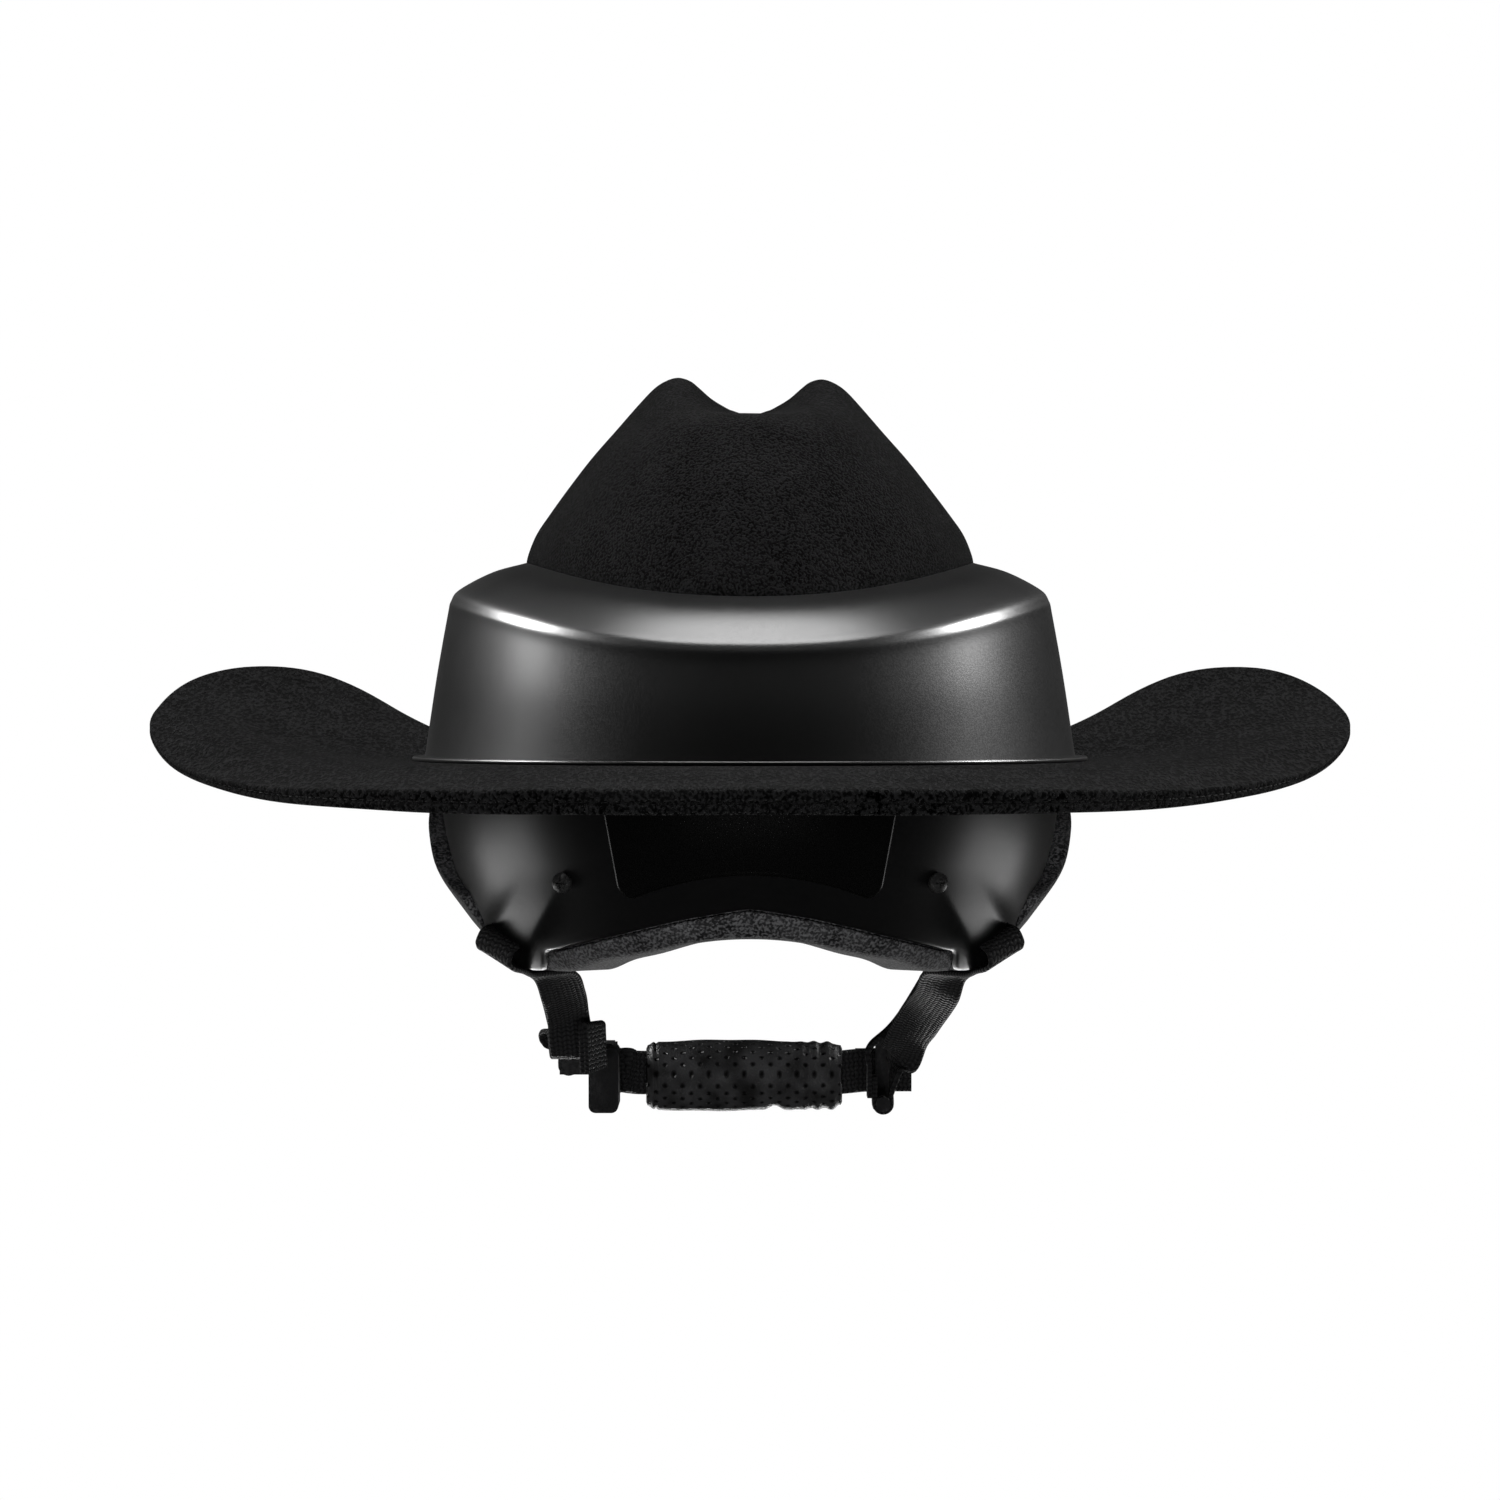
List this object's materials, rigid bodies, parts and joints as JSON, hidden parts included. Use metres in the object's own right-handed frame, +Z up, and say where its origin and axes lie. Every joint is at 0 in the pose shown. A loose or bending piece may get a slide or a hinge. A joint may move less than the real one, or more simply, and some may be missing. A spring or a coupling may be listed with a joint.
{
  "type": "western hat helmet",
  "caption": "Black riding helmet dressed as a western felt hat: creased crown, satin collar, rolled brim, nape lobes and a padded chin strap with a side-release buckle.",
  "frame": {"origin": "centre of the head at the height where the brim meets the collar", "axes": "+Z up, +Y the way the wearer looks, +X the wearer's right"},
  "size_m": [0.396, 0.42, 0.2472],
  "materials": {
    "crown_felt": "brushed felt",
    "brim_felt": "brushed felt",
    "satin_shell": "satin",
    "panel": "gloss",
    "foam": "moulded foam",
    "pad_cloth": "knitted",
    "screw_black": "black",
    "insert_steel": "plain",
    "webbing": "woven",
    "buckle_plastic": "fine grain",
    "leatherette": "perforated"
  },
  "bodies": {
    "helmet": {"crown_cap": "crown_felt", "collar": "satin_shell", "brim": "brim_felt", "helmet_shell": "satin_shell", "nape_panel": "panel", "foam_liner": "foam", "brow_pad": "pad_cloth", "nape_pad": "pad_cloth", "side_pad_left": "pad_cloth", "side_pad_right": "pad_cloth", "crown_pad": "pad_cloth", "rear_screws": "screw_black", "rear_inserts": "insert_steel", "brim_screws": "screw_black", "front_anchor_left": "buckle_plastic", "front_anchor_right": "buckle_plastic", "rear_strap_left": "webbing", "rear_strap_right": "webbing", "front_strap_left": "webbing", "front_strap_right": "webbing", "strap_tail": "webbing", "chin_hanger": "buckle_plastic", "buckle_socket": "buckle_plastic"},
    "chin_strap": {"chin_strap": "webbing", "buckle_plug": "buckle_plastic"},
    "arm_upper": {"release_arm_upper": "buckle_plastic"},
    "arm_lower": {"release_arm_lower": "buckle_plastic"},
    "chin_pad": {"chin_pad": "leatherette"}
  },
  "joints": [
    {"name": "chin_strap_swing", "type": "hinge", "parent": "helmet", "child": "chin_strap", "pos_m": [0.045, 0.04512, -0.1068], "axis": [0, 0, -1], "range_deg": [0, 45]},
    {"name": "arm_upper_flex", "type": "hinge", "parent": "chin_strap", "child": "arm_upper", "pos_m": [-0.0493, 0.044, -0.1024], "axis": [-1, 0, 0], "range_deg": [0, 7]},
    {"name": "arm_lower_flex", "type": "hinge", "parent": "chin_strap", "child": "arm_lower", "pos_m": [-0.0493, 0.044, -0.1136], "axis": [1, 0, 0], "range_deg": [0, 7]},
    {"name": "chin_pad_slide", "type": "slide", "parent": "chin_strap", "child": "chin_pad", "axis": [1, 0, 0], "range_m": [-0.003, 0.004]}
  ],
  "couplings": [
    {"joint": "arm_lower_flex", "follows": "arm_upper_flex", "ratio": 1}
  ]
}
